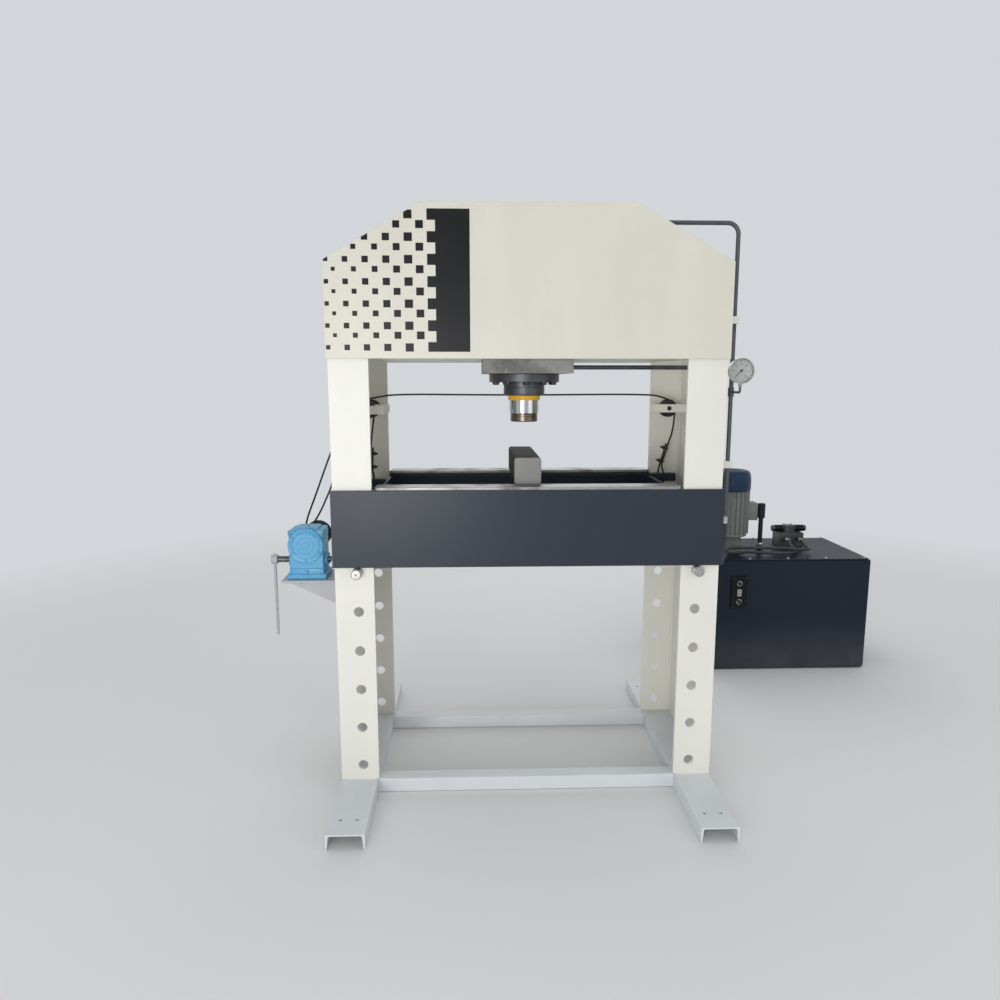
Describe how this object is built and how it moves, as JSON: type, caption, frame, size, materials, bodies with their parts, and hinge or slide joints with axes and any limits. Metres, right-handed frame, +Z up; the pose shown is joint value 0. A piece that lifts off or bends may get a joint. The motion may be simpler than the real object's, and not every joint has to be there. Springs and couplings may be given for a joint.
{
  "type": "hydraulic press",
  "caption": "Floor-standing workshop hydraulic press with a portal frame, pinned bed on a rope winch, chromed ram, and a separate oil power pack joined by hoses.",
  "frame": {"origin": "middle of the front sill's underside, on the floor", "axes": "+X to the right as seen from the front, +Y to the back, +Z up"},
  "size_m": [3.083, 2.231, 2.294],
  "materials": {
    "cream_enamel": "satin enamel",
    "grey_enamel": "satin enamel",
    "slate_enamel": "satin enamel",
    "dark_steel": "dark enamel",
    "pin_steel": "turned and ground",
    "chrome": "hard chrome",
    "nose_steel": "turned",
    "seal": "moulded",
    "mill_steel": "flame cut and ground",
    "rope_steel": "oiled",
    "gearbox_blue": "blue enamel",
    "motor": "enamel",
    "hose": "matt",
    "panel": "matt",
    "button": "gloss"
  },
  "bodies": {
    "frame": {"left_front_flange": "cream_enamel", "left_rear_flange": "cream_enamel", "left_web": "cream_enamel", "right_front_flange": "cream_enamel", "right_rear_flange": "cream_enamel", "right_web": "cream_enamel", "head_front_plate": "cream_enamel", "head_rear_plate": "cream_enamel", "head_bottom_plate": "cream_enamel", "left_foot": "grey_enamel", "right_foot": "grey_enamel", "front_sill": "grey_enamel", "rear_sill": "grey_enamel", "winch_bracket": "grey_enamel", "oil_tank": "slate_enamel", "tank_lid": "slate_enamel", "cylinder_mount_plate": "dark_steel", "cylinder_barrel": "dark_steel", "cylinder_gland": "dark_steel", "left_near_pulley_pin": "dark_steel", "left_far_pulley_pin": "dark_steel", "right_pulley_pin": "dark_steel", "pressure_pipe": "dark_steel", "retract_pipe": "dark_steel", "valve_block": "dark_steel", "gauge_case": "pin_steel", "wiper_ring": "seal", "left_rope": "rope_steel", "cross_rope": "rope_steel", "left_rope_drop": "rope_steel", "right_rope_drop": "rope_steel", "gearbox_housing": "gearbox_blue", "gearbox_cover": "gearbox_blue", "pump_motor": "motor", "pressure_hose": "hose", "return_hose": "hose", "control_panel": "panel"},
    "ram": {"ram": "chrome", "ram_nose": "nose_steel"},
    "bed": {"bed_front_channel": "slate_enamel", "bed_rear_channel": "slate_enamel", "left_bed_end_plate": "slate_enamel", "right_bed_end_plate": "slate_enamel", "front_bed_rest": "mill_steel", "rear_bed_rest": "mill_steel", "left_rope_loop": "rope_steel", "right_rope_loop": "rope_steel"},
    "bar": {"press_bar": "mill_steel"},
    "left_pin": {"left_bed_pin": "pin_steel"},
    "right_pin": {"right_bed_pin": "pin_steel"},
    "crank": {"worm_shaft": "pin_steel", "crank_arm": "grey_enamel"},
    "drum": {"rope_drum": "dark_steel", "drum_rope_turns": "rope_steel"},
    "near_sheave": {"left_near_sheave": "rope_steel"},
    "far_sheave": {"left_far_sheave": "rope_steel"},
    "opposite_sheave": {"right_sheave": "rope_steel"},
    "needle": {"gauge_needle": "panel"},
    "upper_button": {"up_button": "button"},
    "lower_button": {"down_button": "button"}
  },
  "joints": [
    {"name": "ram_slide", "type": "slide", "parent": "frame", "child": "ram", "axis": [0, 0, -1], "range_m": [-0.045, 0.1]},
    {"name": "crank_turn", "type": "hinge", "parent": "frame", "child": "crank", "pos_m": [-0.88, 0.1265, 0.9363], "axis": [1, 0, 0], "range_deg": [0, 770]},
    {"name": "bed_lift", "type": "slide", "parent": "frame", "child": "bed", "axis": [0, 0, 1], "range_m": [0, 0.025], "deforming": ["left_rope_drop", "right_rope_drop"]},
    {"name": "bar_slide", "type": "slide", "parent": "bed", "child": "bar", "axis": [1, 0, 0], "range_m": [-0.4, 0.4]},
    {"name": "left_pin_slide", "type": "slide", "parent": "frame", "child": "left_pin", "axis": [0, -1, 0], "range_m": [0, 0.7]},
    {"name": "right_pin_slide", "type": "slide", "parent": "frame", "child": "right_pin", "axis": [0, -1, 0], "range_m": [0, 0.7]},
    {"name": "drum_turn", "type": "hinge", "parent": "frame", "child": "drum", "pos_m": [-0.88, 0.1855, 1.0043], "axis": [0, -1, 0], "range_deg": [0, 38.6]},
    {"name": "near_sheave_turn", "type": "hinge", "parent": "frame", "child": "near_sheave", "pos_m": [-0.661, 0.327, 1.531], "axis": [0, -1, 0], "range_deg": [0, 43.6]},
    {"name": "far_sheave_turn", "type": "hinge", "parent": "frame", "child": "far_sheave", "pos_m": [-0.661, 0.494, 1.531], "axis": [0, -1, 0], "range_deg": [0, 43.6]},
    {"name": "opposite_sheave_turn", "type": "hinge", "parent": "frame", "child": "opposite_sheave", "pos_m": [0.661, 0.494, 1.531], "axis": [0, -1, 0], "range_deg": [0, 43.6]},
    {"name": "needle_swing", "type": "hinge", "parent": "frame", "child": "needle", "pos_m": [0.885, 0.2014, 1.692], "axis": [0, 1, 0], "range_deg": [0, 270], "stiffness_Nm_per_rad": 0.005},
    {"name": "up_button_press", "type": "slide", "parent": "frame", "child": "upper_button", "axis": [0, 1, 0], "range_m": [0, 0.004], "stiffness_N_per_m": 400},
    {"name": "down_button_press", "type": "slide", "parent": "frame", "child": "lower_button", "axis": [0, 1, 0], "range_m": [0, 0.004], "stiffness_N_per_m": 400}
  ],
  "couplings": [
    {"joint": "crank_turn", "follows": "bed_lift", "rad_per_m": 536.19},
    {"joint": "drum_turn", "follows": "bed_lift", "rad_per_m": 26.81},
    {"joint": "near_sheave_turn", "follows": "bed_lift", "rad_per_m": 30.303},
    {"joint": "far_sheave_turn", "follows": "bed_lift", "rad_per_m": 30.303},
    {"joint": "opposite_sheave_turn", "follows": "bed_lift", "rad_per_m": 30.303}
  ]
}
